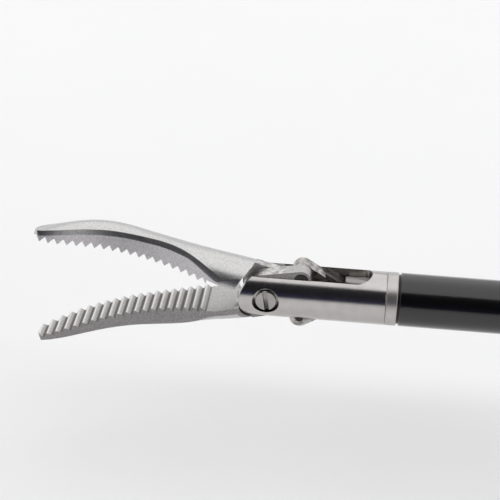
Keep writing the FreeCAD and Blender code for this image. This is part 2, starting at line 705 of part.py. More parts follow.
makeClevis()
makePivotScrew()
makeJaw("upper_jaw", 1)
makeJaw("lower_jaw", -1)
makeKnucklePin("upper_knuckle_pin", 1)
makeKnucklePin("lower_knuckle_pin", -1)
makeLink("upper_link", 1)
makeLink("lower_link", -1)
makeRodHead()
makeRodPin()
makeDriveRod()
makeRodBall()
makeCollar()
makeRing("guide_bush", COLLAR_FRONT, "%s + bushLength" % COLLAR_FRONT, "rodDiameter / 2 + pinClearance",
         "bushDiameter / 2")
makeRing("rod_seal", GLAND_FRONT, "%s + sealLength" % GLAND_FRONT, "rodDiameter / 2 + pinClearance",
         "glandDiameter / 2")
makeRing("seal_retainer", "%s + sealLength" % GLAND_FRONT, "%s + sealLength + retainerLength" % GLAND_FRONT,
         "rodPassage / 2", "glandDiameter / 2")
makeRing("shaft_tube", COLLAR_REAR, SLEEVE_REAR, "tubeDiameter / 2 - tubeWall", "tubeDiameter / 2")
makeSleeve()
makeCoupling()
makeRing("rear_guide_bush", PLUG_FRONT, "%s + rearBushLength" % PLUG_FRONT, "rodDiameter / 2 + pinClearance",
         "rearBushDiameter / 2")
makeRing("coupling_seal", "pivotToShoulder + threadLength + (pilotLength - ringSection) / 2",
         "pivotToShoulder + threadLength + (pilotLength + ringSection) / 2", "ringSeat / 2",
         "ringSeat / 2 + ringSection")
doc.recompute()


# Every object must be sound before anything is written
bodies = [item for item in doc.Objects if item.TypeId == "PartDesign::Body"]
for item in doc.Objects:
    if "Invalid" in item.State or "Error" in item.State:
        raise RuntimeError("%s failed: %s" % (item.Name, item.State))
for body in bodies:
    if body.Shape.isNull() or not body.Shape.isValid() or len(body.Shape.Solids) != 1:
        raise RuntimeError("%s is not one sound solid" % body.Label)
for body in bodies:
    body.Shape.exportStep(os.path.join("parts", body.Label + ".step"))
    print("%-20s %8.3f mm3" % (body.Label, body.Shape.Volume))
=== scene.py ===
import math

import bpy
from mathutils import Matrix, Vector


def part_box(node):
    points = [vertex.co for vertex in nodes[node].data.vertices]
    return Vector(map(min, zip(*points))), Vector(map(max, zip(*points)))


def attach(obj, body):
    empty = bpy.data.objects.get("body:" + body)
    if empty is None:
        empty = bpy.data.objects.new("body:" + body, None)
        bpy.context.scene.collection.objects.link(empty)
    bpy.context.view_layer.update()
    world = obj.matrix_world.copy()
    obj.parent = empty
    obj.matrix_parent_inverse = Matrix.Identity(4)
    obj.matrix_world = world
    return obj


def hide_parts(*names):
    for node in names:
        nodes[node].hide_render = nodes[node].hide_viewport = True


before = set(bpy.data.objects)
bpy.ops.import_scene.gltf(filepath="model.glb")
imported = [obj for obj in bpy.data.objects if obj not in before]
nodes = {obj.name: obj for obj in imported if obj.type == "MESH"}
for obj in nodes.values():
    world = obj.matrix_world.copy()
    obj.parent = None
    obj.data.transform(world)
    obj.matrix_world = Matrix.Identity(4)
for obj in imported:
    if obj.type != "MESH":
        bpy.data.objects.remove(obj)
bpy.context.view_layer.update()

# Tip unit of a 5 mm Maryland dissector. Metres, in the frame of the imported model: +X back along the shaft,
# +Z up, the pivot screw along Y, the jaws towards -X.

mm = 0.001
pivot = (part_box("pivot_screw")[0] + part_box("pivot_screw")[1]) / 2
pivot.y = 0.0
bevelSamples = 6  # of the shader that softens edges


def linear(hexColour):  # sRGB hex to the linear RGBA that a shader takes
    parts = [int(hexColour[i:i + 2], 16) / 255 for i in (1, 3, 5)]
    parts = [part / 12.92 if part <= 0.04045 else ((part + 0.055) / 1.055) ** 2.4 for part in parts]
    return (*parts, 1.0)


def addNode(tree, kind, settings, links=None):
    # settings name either the node's own options or its sockets, links name sockets
    node = tree.nodes.new(kind)
    for name, value in settings.items():
        if isinstance(name, str) and hasattr(node, name):
            setattr(node, name, value)
        else:
            node.inputs[name].default_value = value
    for name, source in (links or {}).items():
        tree.links.new(source, node.inputs[name])
    return node


def newMaterial(name):
    material = bpy.data.materials.new(name)
    material.use_nodes = True
    material.node_tree.nodes.clear()
    return material, material.node_tree


def finishMaterial(tree, shader):
    addNode(tree, "ShaderNodeOutputMaterial", {}, {"Surface": shader.outputs[0]})


def placeFromPivot(tree, place):
    return addNode(tree, "ShaderNodeVectorMath", {"operation": "SUBTRACT", 1: tuple(pivot)},
                   {0: place.outputs["Object"]})


# Camera: where the photograph was taken from
cameraView = {
    "azimuth": 4.0,  # degrees round from straight in front
    "elevation": 30.5,
    "roll": 2.055,
    "distance": 150.0,  # mm from the pivot
    "pixelsPerMm": 10.641,  # at the pivot
    "pivotPixel": (268.07, 288.81),
    "imageSize": 500,
    "sensor": 36.0,  # mm wide
    "clipStart": 0.01,  # m
}


def makeCamera():
    azimuth = math.radians(cameraView["azimuth"])
    elevation = math.radians(cameraView["elevation"])
    roll = math.radians(cameraView["roll"])
    towards = Vector((math.sin(azimuth) * math.cos(elevation), -math.cos(azimuth) * math.cos(elevation),
                      math.sin(elevation)))
    right = Vector((math.cos(azimuth), math.sin(azimuth), 0.0))
    up = right.cross(-towards)
    position = pivot + towards * cameraView["distance"] * mm
    # the point of the pivot's own plane that falls in the middle of the picture
    across = cameraView["imageSize"] / 2 - cameraView["pivotPixel"][0]
    down = cameraView["imageSize"] / 2 - cameraView["pivotPixel"][1]
    level = (math.cos(roll) * across + math.sin(roll) * down) / cameraView["pixelsPerMm"] * mm
    drop = (math.cos(roll) * down - math.sin(roll) * across) / cameraView["pixelsPerMm"] * mm
    aim = pivot + right * level - up * drop
    data = bpy.data.cameras.new("photoCamera")
    data.sensor_width = cameraView["sensor"]
    data.lens = (cameraView["pixelsPerMm"] * cameraView["distance"] * cameraView["sensor"] /
                 cameraView["imageSize"])
    data.clip_start = cameraView["clipStart"]
    camera = bpy.data.objects.new("photoCamera", data)
    bpy.context.scene.collection.objects.link(camera)
    camera.location = position
    turn = (aim - position).to_track_quat("-Z", "Y")
    camera.rotation_mode = "QUATERNION"
    camera.rotation_quaternion = turn
    camera.rotation_mode = "XYZ"
    camera.rotation_euler.rotate_axis("Z", roll)
    bpy.context.scene.camera = camera


makeCamera()
print("camera placed")


# Studio: a pale floor, a large softbox overhead, a lit panel behind and at each side, a dark room in front
studio = {
    "floorLight": "#f7f7f7",
    "floorDark": "#f5f5f5",
    "floorDrop": 16.0,  # mm below the shaft's axis
    "floorSize": 3.0,  # m
    "floorMottle": 40.0,  # patches in a metre, 25 mm each
    "roomLow": "#25244a",  # a dark curtain before the object, bluish near the floor
    "roomHigh": "#1c1c21",
    "roomFade": (0.0, 0.35),  # sine of the elevation, from the one colour to the other
    "roomStrength": 1.0,
    "softboxHeight": 300.0,  # mm
    "softboxFront": 60.0,  # degrees above the horizon, seen from the pivot
    "softboxBack": 24.0,
    "softboxWidth": 1000.0,
    "softboxRadiance": 1.18,
    "panelDistance": 300.0,
    "panelSize": (520.0, 260.0),  # along the floor and up
    "panelCentre": (-120.0, 130.0),  # behind the pivot and above the axis
    "panelRadiance": 1.15,
    "backdropDistance": 520.0,
    "backdropSize": (1200.0, 230.0),
    "backdropRadiance": 0.8,
}


def makeFloor():
    half = studio["floorSize"] / 2
    mesh = bpy.data.meshes.new("studioFloor")
    corners = [(-half, -half, 0), (half, -half, 0), (half, half, 0), (-half, half, 0)]
    mesh.from_pydata(corners, [], [(0, 1, 2, 3)])
    floor = bpy.data.objects.new("studioFloor", mesh)
    floor.location = (pivot.x, 0.0, -studio["floorDrop"] * mm)
    bpy.context.scene.collection.objects.link(floor)
    # painted board: matte, with a faint mottle from the roller
    material, tree = newMaterial("paintedBoard")
    place = addNode(tree, "ShaderNodeTexCoord", {})
    mottle = addNode(tree, "ShaderNodeTexNoise", {"Scale": studio["floorMottle"], "Detail": 2.0},
                     {"Vector": place.outputs["Object"]})
    tint = addNode(tree, "ShaderNodeMix",
                   {"data_type": "RGBA", 6: linear(studio["floorDark"]), 7: linear(studio["floorLight"])},
                   {0: mottle.outputs[0]})
    shader = addNode(tree, "ShaderNodeBsdfDiffuse", {}, {"Color": tint.outputs[2]})
    finishMaterial(tree, shader)
    mesh.materials.append(material)


def addPanel(name, width, depth, radiance, place, aim):
    light = bpy.data.lights.new(name, "AREA")
    light.shape = "RECTANGLE"
    light.size = width
    light.size_y = depth
    light.energy = radiance * math.pi * width * depth
    lamp = bpy.data.objects.new(name, light)
    lamp.location = place
    lamp.rotation_euler = (Vector(aim) - Vector(place)).to_track_quat("-Z", "Y").to_euler()
    bpy.context.scene.collection.objects.link(lamp)


def makeLights():
    height = studio["softboxHeight"] * mm
    front = -height / math.tan(math.radians(studio["softboxFront"]))
    back = height / math.tan(math.radians(studio["softboxBack"]))
    middle = (front + back) / 2
    addPanel("softboxOverhead", studio["softboxWidth"] * mm, back - front, studio["softboxRadiance"],
             (pivot.x, middle, height), (pivot.x, middle, 0.0))
    width, rise = studio["panelSize"]
    beside, above = studio["panelCentre"]
    for name, side in (("panelLeft", -1), ("panelRight", 1)):
        place = (pivot.x + side * studio["panelDistance"] * mm, beside * mm, above * mm)
        addPanel(name, width * mm, rise * mm, studio["panelRadiance"], place,
                 (pivot.x, beside * mm, above * mm))
    width, rise = studio["backdropSize"]
    behind = studio["backdropDistance"] * mm
    level = (rise / 2 - studio["floorDrop"]) * mm
    addPanel("backdropPanel", width * mm, rise * mm, studio["backdropRadiance"], (pivot.x, behind, level),
             (pivot.x, 0.0, level))
    world = bpy.data.worlds.new("studioRoom")
    world.use_nodes = True
    tree = world.node_tree
    background = tree.nodes["Background"]
    background.inputs["Strength"].default_value = studio["roomStrength"]
    place = addNode(tree, "ShaderNodeTexCoord", {})
    apart = addNode(tree, "ShaderNodeSeparateXYZ", {}, {0: place.outputs["Generated"]})
    low, high = studio["roomFade"]
    fade = addNode(tree, "ShaderNodeMapRange", {"From Min": low, "From Max": high},
                   {"Value": apart.outputs["Z"]})
    colour = addNode(tree, "ShaderNodeMix",
                     {"data_type": "RGBA", 6: linear(studio["roomLow"]), 7: linear(studio["roomHigh"])},
                     {0: fade.outputs[0]})
    tree.links.new(colour.outputs[2], background.inputs["Color"])
    bpy.context.scene.world = world


makeFloor()
makeLights()
bpy.context.scene.view_settings.view_transform = "Standard"
print("studio built")


# Materials
def finishMetal(tree, colour, roughness, normal):
    shader = addNode(tree, "ShaderNodeBsdfPrincipled", {"Metallic": 1.0},
                     {"Base Color": colour.outputs[2], "Roughness": roughness.outputs[0],
                      "Normal": normal.outputs[0]})
    finishMaterial(tree, shader)


turnedSteelLook = {
    "light": "#c6c3c1",
    "dark": "#b9b6b4",
    "roughness": (0.18, 0.22),
    "feed": 0.12,  # mm between tool marks; the real 0.03 mm is too fine to show
    "feedSpan": (0.35, 0.65),  # what the marks' pattern mostly returns
    "markDepth": 0.0002,  # mm
    "cloud": 900.0,  # patches in a metre, 1.1 mm each
    "cloudSpan": (0.5, 1.0),
    "soilAndShade": "#4a4745",  # painted shade in the clevis's recess round the pivot screw and in the screw's slot
    "edgeRadius": 0.05,  # mm, the edges broken by tumbling
}


# painted shade round the pivot screw: darker on the walls of its recess and in its slot, more on its lower
# side
screwShade = {
    "recess": (1.3, 1.26),  # mm from the screw's axis: outside the recess and within its wall
    "skin": (2.49, 2.45),  # mm from the shaft's axis: on the clevis's round surface and under it
    "slot": (-2.26, -2.2),  # mm along the screw: on its face and behind it
    "patch": 0.4,  # mm across an uneven patch
    "wander": 1.2,  # mm by which its level goes up and down
    "level": (1.1, -0.1),  # mm over the pivot: where it starts and where it is full
    "least": 0.25,
}


def paintedShadeLevel(tree, fromPivot, place):
    # painted shade, uneven and deeper on the lower side of the screw
    apart = addNode(tree, "ShaderNodeSeparateXYZ", {}, {0: fromPivot.outputs[0]})
    uneven = addNode(tree, "ShaderNodeTexNoise", {"Scale": 1 / (screwShade["patch"] * mm), "Detail": 3.0},
                     {"Vector": place.outputs["Object"]})
    level = addNode(tree, "ShaderNodeMath", {"operation": "MULTIPLY_ADD", 1: screwShade["wander"] * mm},
                    {0: uneven.outputs[0], 2: apart.outputs["Z"]})
    start, full = screwShade["level"]
    return addNode(tree, "ShaderNodeMapRange",
                   {"interpolation_type": "SMOOTHSTEP", "From Min": start * mm, "From Max": full * mm,
                    "To Min": screwShade["least"]}, {"Value": level.outputs[0]})


def headRecessShade(tree, place):
    # 1 on the walls of the pivot screw's recess, near the pivot's axis and under the clevis's round surface:
    # where shade is painted
    apart = placeFromPivot(tree, place)
    masks = []
    for axes, limits in (((1, 0, 1), screwShade["recess"]), ((0, 1, 1), screwShade["skin"])):
        across = addNode(tree, "ShaderNodeVectorMath", {"operation": "MULTIPLY", 1: axes},
                         {0: apart.outputs[0]})
        reach = addNode(tree, "ShaderNodeVectorMath", {"operation": "LENGTH"}, {0: across.outputs[0]})
        masks.append(addNode(tree, "ShaderNodeMapRange",
                             {"From Min": limits[0] * mm, "From Max": limits[1] * mm},
                             {"Value": reach.outputs["Value"]}))
    within = addNode(tree, "ShaderNodeMath", {"operation": "MULTIPLY"},
                     {0: masks[0].outputs[0], 1: masks[1].outputs[0]})
    low = paintedShadeLevel(tree, apart, place)
    return addNode(tree, "ShaderNodeMath", {"operation": "MULTIPLY"},
                   {0: within.outputs[0], 1: low.outputs[0]})


def driverSlotShade(tree, place):
    # 1 behind the face of the screw's head: painted shade in its slot
    fromPivot = placeFromPivot(tree, place)
    apart = addNode(tree, "ShaderNodeSeparateXYZ", {}, {0: fromPivot.outputs[0]})
    face, floor = screwShade["slot"]
    behind = addNode(tree, "ShaderNodeMapRange", {"From Min": face * mm, "From Max": floor * mm},
                     {"Value": apart.outputs["Y"]})
    low = paintedShadeLevel(tree, fromPivot, place)
    return addNode(tree, "ShaderNodeMath", {"operation": "MULTIPLY"},
                   {0: behind.outputs[0], 1: low.outputs[0]})


def makeTurnedSteel(name, look, shadePlace=None):
    # 17-4 stainless steel, turned on a lathe: rings round the axis that stretch each highlight along the part
    material, tree = newMaterial(name)
    place = addNode(tree, "ShaderNodeTexCoord", {})
    apart = addNode(tree, "ShaderNodeSeparateXYZ", {}, {0: place.outputs["Object"]})
    rings = addNode(tree, "ShaderNodeTexNoise",
                    {"noise_dimensions": "1D", "Scale": 1.0 / (look["feed"] * mm), "Detail": 3.0,
                     "Roughness": 0.6}, {"W": apart.outputs["X"]})
    cloud = addNode(tree, "ShaderNodeTexNoise", {"Scale": look["cloud"], "Detail": 3.0},
                    {"Vector": place.outputs["Object"]})
    tone = addNode(tree, "ShaderNodeMath", {"operation": "MULTIPLY_ADD", 1: 0.5},
                   {0: rings.outputs[0], 2: cloud.outputs[0]})
    start, end = look["cloudSpan"]
    fade = addNode(tree, "ShaderNodeMapRange", {"From Min": start, "From Max": end},
                   {"Value": tone.outputs[0]})
    colour = addNode(tree, "ShaderNodeMix",
                     {"data_type": "RGBA", 6: linear(look["dark"]), 7: linear(look["light"])},
                     {0: fade.outputs[0]})
    # painted shade, where the mask gives it
    if shadePlace:
        soilAndShadeShare = shadePlace(tree, place)
        colour = addNode(tree, "ShaderNodeMix", {"data_type": "RGBA", 7: linear(look["soilAndShade"])},
                         {0: soilAndShadeShare.outputs[0], 6: colour.outputs[2]})
    start, end = look["feedSpan"]
    low, high = look["roughness"]
    rough = addNode(tree, "ShaderNodeMapRange",
                    {"From Min": start, "From Max": end, "To Min": low, "To Max": high},
                    {"Value": rings.outputs[0]})
    soft = addNode(tree, "ShaderNodeBevel", {"samples": bevelSamples, "Radius": look["edgeRadius"] * mm})
    bump = addNode(tree, "ShaderNodeBump", {"Strength": 1.0, "Distance": look["markDepth"] * mm},
                   {"Height": rings.outputs[0], "Normal": soft.outputs[0]})
    finishMetal(tree, colour, rough, bump)
    return material


forgedSteelLook = {
    "blasted": {1: ("#e6e3e4", "#cfcccd"), -1: ("#a6a3a3", "#8a8787")},  # light and dark, upper and lower jaw: the upper jaw's lightened as painted light, the lower jaw's darkened as painted shade
    "blastedRoughness": (0.5, 0.62),
    "milled": ("#c6c4c2", "#aeacaa"),
    "milledRoughness": (0.3, 0.4),
    "polished": ("#d2d1d0", "#bdbcbb"),
    "polishedRoughness": (0.28, 0.36),
    "cutFacing": (0.62, 0.42),  # how far a face may turn sideways before it belongs to the blasted sides
    "bead": 0.11,  # mm across a bead's dimple, drawn at twice the real size so that it shows
    "beadDepth": 0.006,
    "beadStrength": (1.0, 0.05),  # on the blasted sides and elsewhere
    "speckle": 0.16,  # mm, coarser than the dimples so that it shows
    "speckleSpan": (0.33, 0.67),
    "cloud": 700.0,  # patches in a metre, 1.4 mm each
    "edgeRadius": 0.04,
    # where each jaw lies in the photograph, and the plane in which its teeth mesh
    "restOpening": 14.0,
    "biteTilt": 0.4,
    "tipStation": 20.98,
    # teeth: mm over that plane, then the share of the colour
    "teethFrom": (5.75, 5.85),  # station of the first
    "paintedHighlight": "#efeeec",  # painted highlight along the crests of the teeth
    "crestHighlight": (-0.05, -0.17, 0.9),
    "soilAndShade": "#5f5c5a",  # painted shade in the roots of the teeth, and the soil of the tang's patches
    "rootShade": (0.08, 0.22, 0.85),
    # tang, within the shoulder round the clevis's nose
    "shoulder": (3.08, 3.12),  # mm from the pivot's axis
    "rubbed": "#dedcda",  # it rubs on its neighbours in the clevis
    "patch": 0.5,  # mm across a patch of soil on it
    "patchSpan": (0.4, 0.62),
    "patchAmount": (0.1, 0.7),
    # the polishing wheel's lower limit over the bite, in mm: stations from the pivot, then heights
    "wheelRoot": (5.0, 8.3, 0.49, 1.45),
    "wheelBend": (10.5, 60.0),  # start and radius
    "wheelTaper": (10.0, 15.5, 0.0, 0.16),
    "wheelEdge": {1: (-0.02, 0.06), -1: (0.4, 0.55)},  # from the flat side's edge, upper and lower jaw
}


def jawFrame(tree, place, look, side):
    # station ahead of the pivot and height over the bite, in mm, in the closed jaw's own frame
    closed = addNode(tree, "ShaderNodeVectorRotate",
                     {"rotation_type": "Y_AXIS", "Angle": -side * math.radians(look["restOpening"])},
                     {"Vector": placeFromPivot(tree, place).outputs[0]})
    apart = addNode(tree, "ShaderNodeSeparateXYZ", {}, {0: closed.outputs[0]})
    station = addNode(tree, "ShaderNodeMath", {"operation": "MULTIPLY", 1: -1 / mm}, {0: apart.outputs["X"]})
    height = addNode(tree, "ShaderNodeMath", {"operation": "MULTIPLY", 1: side / mm}, {0: apart.outputs["Z"]})
    return station.outputs[0], height.outputs[0]


def wheelReach(tree, station, height, look, side):
    # 1 where the polishing wheel reaches, over a limit that follows the flat side's upper edge
    start, end, low, high = look["wheelRoot"]
    root = addNode(tree, "ShaderNodeMapRange",
                   {"interpolation_type": "SMOOTHSTEP", "From Min": start, "From Max": end, "To Min": low,
                    "To Max": high}, {"Value": station})
    start, end, low, high = look["wheelTaper"]
    taper = addNode(tree, "ShaderNodeMapRange",
                    {"From Min": start, "From Max": end, "To Min": low, "To Max": high}, {"Value": station})
    start, radius = look["wheelBend"]
    ahead = addNode(tree, "ShaderNodeMath", {"operation": "SUBTRACT", 1: start}, {0: station})
    ahead = addNode(tree, "ShaderNodeMath", {"operation": "MAXIMUM", 1: 0.0}, {0: ahead.outputs[0]})
    square = addNode(tree, "ShaderNodeMath", {"operation": "POWER", 1: 2.0}, {0: ahead.outputs[0]})
    over = addNode(tree, "ShaderNodeMath", {"operation": "SUBTRACT"}, {0: height, 1: root.outputs[0]})
    over = addNode(tree, "ShaderNodeMath", {"operation": "ADD"}, {0: over.outputs[0], 1: taper.outputs[0]})
    over = addNode(tree, "ShaderNodeMath", {"operation": "MULTIPLY_ADD", 1: 1 / (2 * radius)},
                   {0: square.outputs[0], 2: over.outputs[0]})
    low, high = look["wheelEdge"][side]
    return addNode(tree, "ShaderNodeMapRange",
                   {"interpolation_type": "SMOOTHSTEP", "From Min": low, "From Max": high},
                   {"Value": over.outputs[0]}).outputs[0]


def shoulderReach(tree, station, height, look):
    # 1 on the concave shoulder round the clevis's nose and on all behind it
    out = addNode(tree, "ShaderNodeCombineXYZ", {}, {0: station, 1: height})
    far = addNode(tree, "ShaderNodeVectorMath", {"operation": "LENGTH"}, {0: out.outputs[0]})
    low, high = look["shoulder"]
    return addNode(tree, "ShaderNodeMapRange", {"From Min": high, "From Max": low},
                   {"Value": far.outputs["Value"]})


def toothDepth(tree, station, height, look):
    # height over the tilted plane in which the teeth mesh: negative at their crests
    slope = math.tan(math.radians(look["biteTilt"]))
    lift = addNode(tree, "ShaderNodeMath",
                   {"operation": "MULTIPLY_ADD", 1: slope, 2: -slope * look["tipStation"]}, {0: station})
    return addNode(tree, "ShaderNodeMath", {"operation": "ADD"}, {0: height, 1: lift.outputs[0]}).outputs[0]


def toothedColour(tree, look, place, station, depth, shoulder, milled):
    # milled steel with a painted highlight on the crests and painted shade in the roots, and a rubbed, patchy
    # tang behind the shoulder
    patches = addNode(tree, "ShaderNodeTexNoise",
                      {"Scale": 1 / (look["patch"] * mm), "Detail": 4.0, "Roughness": 0.6},
                      {"Vector": place.outputs["Object"]})
    start, end = look["patchSpan"]
    low, high = look["patchAmount"]
    patch = addNode(tree, "ShaderNodeMapRange",
                    {"From Min": start, "From Max": end, "To Min": low, "To Max": high},
                    {"Value": patches.outputs[0]})
    rubbed = addNode(tree, "ShaderNodeMix",
                     {"data_type": "RGBA", 6: linear(look["rubbed"]), 7: linear(look["soilAndShade"])},
                     {0: patch.outputs[0]})
    colour = addNode(tree, "ShaderNodeMix", {"data_type": "RGBA"},
                     {0: shoulder.outputs[0], 6: milled.outputs[2], 7: rubbed.outputs[2]})
    start, end = look["teethFrom"]
    among = addNode(tree, "ShaderNodeMapRange", {"From Min": start, "From Max": end}, {"Value": station})
    # painted highlight on the crests, then painted shade in the roots
    for tint, limits in (("paintedHighlight", "crestHighlight"), ("soilAndShade", "rootShade")):
        start, end, most = look[limits]
        reach = addNode(tree, "ShaderNodeMapRange", {"From Min": start, "From Max": end, "To Max": most},
                        {"Value": depth})
        share = addNode(tree, "ShaderNodeMath", {"operation": "MULTIPLY"},
                        {0: reach.outputs[0], 1: among.outputs[0]})
        colour = addNode(tree, "ShaderNodeMix", {"data_type": "RGBA", 7: linear(look[tint])},
                         {0: share.outputs[0], 6: colour.outputs[2]})
    return colour


def makeForgedSteel(name, look, side):
    # martensitic stainless forging: bead-blasted to grey, its back polished to satin, its teeth milled
    # bright; its blasted sides painted lighter on the upper jaw and darker on the lower jaw, as painted light
    # and painted shade
    material, tree = newMaterial(name)
    place = addNode(tree, "ShaderNodeTexCoord", {})
    station, height = jawFrame(tree, place, look, side)
    wheel = wheelReach(tree, station, height, look, side)
    shoulder = shoulderReach(tree, station, height, look)
    clear = addNode(tree, "ShaderNodeMath", {"operation": "SUBTRACT", 0: 1.0, "use_clamp": True},
                    {1: shoulder.outputs[0]})
    back = addNode(tree, "ShaderNodeMath", {"operation": "MULTIPLY"}, {0: wheel, 1: clear.outputs[0]})
    facing = addNode(tree, "ShaderNodeSeparateXYZ", {}, {0: place.outputs["Normal"]})
    sideways = addNode(tree, "ShaderNodeMath", {"operation": "ABSOLUTE"}, {0: facing.outputs["Y"]})
    start, end = look["cutFacing"]
    cut = addNode(tree, "ShaderNodeMapRange",
                  {"interpolation_type": "SMOOTHSTEP", "From Min": start, "From Max": end},
                  {"Value": sideways.outputs[0]})
    # colour
    speckle = addNode(tree, "ShaderNodeTexNoise", {"Scale": 1 / (look["speckle"] * mm), "Detail": 2.0},
                      {"Vector": place.outputs["Object"]})
    start, end = look["speckleSpan"]
    spread = addNode(tree, "ShaderNodeMapRange", {"From Min": start, "From Max": end},
                     {"Value": speckle.outputs[0]})
    blasted, milled, polished = [
        addNode(tree, "ShaderNodeMix", {"data_type": "RGBA", 6: linear(dark), 7: linear(light)},
                {0: spread.outputs[0]})
        for light, dark in (look["blasted"][side], look["milled"], look["polished"])]
    depth = toothDepth(tree, station, height, look)
    toothed = toothedColour(tree, look, place, station, depth, shoulder, milled)
    below = addNode(tree, "ShaderNodeMix", {"data_type": "RGBA"},
                    {0: cut.outputs[0], 6: blasted.outputs[2], 7: toothed.outputs[2]})
    colour = addNode(tree, "ShaderNodeMix", {"data_type": "RGBA"},
                     {0: back.outputs[0], 6: below.outputs[2], 7: polished.outputs[2]})
    # roughness
    cloud = addNode(tree, "ShaderNodeTexNoise", {"Scale": look["cloud"], "Detail": 4.0},
                    {"Vector": place.outputs["Object"]})
    blastedRough, milledRough, polishedRough = [
        addNode(tree, "ShaderNodeMapRange", {"To Min": low, "To Max": high}, {"Value": cloud.outputs[0]})
        for low, high in (look["blastedRoughness"], look["milledRoughness"], look["polishedRoughness"])]
    rough = addNode(tree, "ShaderNodeMix", {"data_type": "FLOAT"},
                    {0: cut.outputs[0], 2: blastedRough.outputs[0], 3: milledRough.outputs[0]})
    rough = addNode(tree, "ShaderNodeMix", {"data_type": "FLOAT"},
                    {0: back.outputs[0], 2: rough.outputs[0], 3: polishedRough.outputs[0]})
    # dimples of the blasting
    grit = addNode(tree, "ShaderNodeTexVoronoi",
                   {"feature": "SMOOTH_F1", "Scale": 1.0 / (look["bead"] * mm)},
                   {"Vector": place.outputs["Object"]})
    smooth = addNode(tree, "ShaderNodeMath", {"operation": "MAXIMUM"},
                     {0: back.outputs[0], 1: cut.outputs[0]})
    start, end = look["beadStrength"]
    strength = addNode(tree, "ShaderNodeMapRange", {"To Min": start, "To Max": end},
                       {"Value": smooth.outputs[0]})
    soft = addNode(tree, "ShaderNodeBevel", {"samples": bevelSamples, "Radius": look["edgeRadius"] * mm})
    bump = addNode(tree, "ShaderNodeBump", {"Distance": look["beadDepth"] * mm},
                   {"Strength": strength.outputs[0], "Height": grit.outputs[0], "Normal": soft.outputs[0]})
    finishMetal(tree, colour, rough, bump)
    return material


satinSteelLook = {
    "light": "#dddad7",
    "dark": "#a5a29e",
    "soilAndShade": "#4e4b49",
    "patch": 0.5,  # mm across a patch of soil
    "patchSpan": (0.42, 0.62),
    "patchMost": 0.7,
    "roughness": (0.26, 0.4),
    "grain": (0.9, 0.05),  # mm along and across the polishing lines, the width doubled so that they show
    "grainSpan": (0.3, 0.7),
    "grainDepth": 0.0015,
    "edgeRadius": 0.05,
}


def makeSatinSteel(name, look):
    # stainless steel rubbed lengthways with fine abrasive cloth: short parallel lines and a satin sheen
    material, tree = newMaterial(name)
    place = addNode(tree, "ShaderNodeTexCoord", {})
    along, across = look["grain"]
    stretch = addNode(tree, "ShaderNodeMapping",
                      {"Scale": (1 / (along * mm), 1 / (across * mm), 1 / (across * mm))},
                      {"Vector": place.outputs["Object"]})
    lines = addNode(tree, "ShaderNodeTexNoise", {"Scale": 1.0, "Detail": 4.0, "Roughness": 0.65},
                    {"Vector": stretch.outputs[0]})
    colour = addNode(tree, "ShaderNodeMix",
                     {"data_type": "RGBA", 6: linear(look["dark"]), 7: linear(look["light"])},
                     {0: lines.outputs[0]})
    patches = addNode(tree, "ShaderNodeTexNoise",
                      {"Scale": 1 / (look["patch"] * mm), "Detail": 4.0, "Roughness": 0.6},
                      {"Vector": place.outputs["Object"]})
    start, end = look["patchSpan"]
    soilAndShadeShare = addNode(tree, "ShaderNodeMapRange",
                     {"From Min": start, "From Max": end, "To Max": look["patchMost"]},
                     {"Value": patches.outputs[0]})
    colour = addNode(tree, "ShaderNodeMix", {"data_type": "RGBA", 7: linear(look["soilAndShade"])},
                     {0: soilAndShadeShare.outputs[0], 6: colour.outputs[2]})
    start, end = look["grainSpan"]
    low, high = look["roughness"]
    rough = addNode(tree, "ShaderNodeMapRange",
                    {"From Min": start, "From Max": end, "To Min": low, "To Max": high},
                    {"Value": lines.outputs[0]})
    soft = addNode(tree, "ShaderNodeBevel", {"samples": bevelSamples, "Radius": look["edgeRadius"] * mm})
    bump = addNode(tree, "ShaderNodeBump", {"Distance": look["grainDepth"] * mm},
                   {"Height": lines.outputs[0], "Normal": soft.outputs[0]})
    finishMetal(tree, colour, rough, bump)
    return material


shrinkSleeveLook = {
    "light": "#0b0b0d",
    "dark": "#050506",
    "roughness": (0.18, 0.28),
    "ripple": (2.4, 0.7),  # mm along and round the shaft: the faint unevenness left by shrinking
    "rippleDepth": 0.012,
    "dust": 5000.0,  # specks in a metre, 0.2 mm each
    "ior": 1.5,
    "coat": 0.6,  # the skin of lubricant that lets it slide through a trocar's seal
}


def makeShrinkSleeve(name, look):
    # polyolefin tube, heat-shrunk on the shaft: a glossy black skin, very slightly uneven
    material, tree = newMaterial(name)
    place = addNode(tree, "ShaderNodeTexCoord", {})
    along, across = look["ripple"]
    stretch = addNode(tree, "ShaderNodeMapping",
                      {"Scale": (1 / (along * mm), 1 / (across * mm), 1 / (across * mm))},
                      {"Vector": place.outputs["Object"]})
    ripple = addNode(tree, "ShaderNodeTexNoise", {"Scale": 1.0, "Detail": 2.0},
                     {"Vector": stretch.outputs[0]})
    dust = addNode(tree, "ShaderNodeTexNoise", {"Scale": look["dust"], "Detail": 3.0},
                   {"Vector": place.outputs["Object"]})
    colour = addNode(tree, "ShaderNodeMix",
                     {"data_type": "RGBA", 6: linear(look["dark"]), 7: linear(look["light"])},
                     {0: ripple.outputs[0]})
    low, high = look["roughness"]
    rough = addNode(tree, "ShaderNodeMapRange", {"To Min": low, "To Max": high}, {"Value": dust.outputs[0]})
    bump = addNode(tree, "ShaderNodeBump", {"Distance": look["rippleDepth"] * mm},
                   {"Height": ripple.outputs[0]})
    shader = addNode(tree, "ShaderNodeBsdfPrincipled", {"IOR": look["ior"], "Coat Weight": look["coat"]},
                     {"Base Color": colour.outputs[2], "Roughness": rough.outputs[0],
                      "Normal": bump.outputs[0]})
    finishMaterial(tree, shader)
    return material


